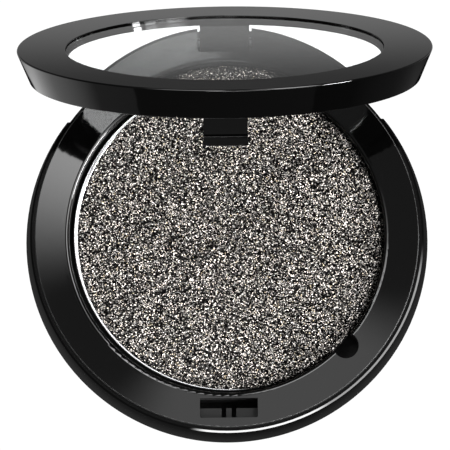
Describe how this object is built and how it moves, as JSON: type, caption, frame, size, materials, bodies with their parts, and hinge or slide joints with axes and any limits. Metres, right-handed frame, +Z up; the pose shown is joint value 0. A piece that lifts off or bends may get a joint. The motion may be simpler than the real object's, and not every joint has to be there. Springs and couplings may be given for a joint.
{
  "type": "eyeshadow compact",
  "caption": "Round glossy black eyeshadow compact with a hinged, windowed snap lid standing open over a lift-out pan of pressed glitter powder.",
  "frame": {"origin": "centre of the underside, on the plane that the foot ring stands on", "axes": "+Z up from the underside through the powder, +Y from the latch towards the hinge, +X to the right with the latch in front"},
  "size_m": [0.0488, 0.0521, 0.0514],
  "materials": {
    "case_black": "polished black moulding",
    "tray_black": "polished black moulding",
    "lid_black": "polished black moulding",
    "clear_window": "clear polished acrylic",
    "pin_steel": "drawn wire",
    "pan_tinplate": "bright tinplate",
    "glitter_powder": "pressed powder full of silver glitter",
    "magnet_sheet": "matt",
    "label_paper": "satin sticker"
  },
  "bodies": {
    "base": {"base_shell": "case_black", "inner_tray": "tray_black", "hinge_pin": "pin_steel", "pan_magnet": "magnet_sheet", "shade_label": "label_paper"},
    "lid": {"lid_frame": "lid_black", "lid_window": "clear_window"},
    "powder_pan": {"pan": "pan_tinplate", "powder_cake": "glitter_powder"}
  },
  "joints": [
    {"name": "lid_hinge", "type": "hinge", "parent": "base", "child": "lid", "pos_m": [0, 0.0215, 0.0061], "axis": [-1, 0, 0], "range_deg": [-70.9, 29.1]},
    {"name": "pan_lift", "type": "slide", "parent": "base", "child": "powder_pan", "axis": [0, 0, 1], "range_m": [0, 0.00145]}
  ]
}
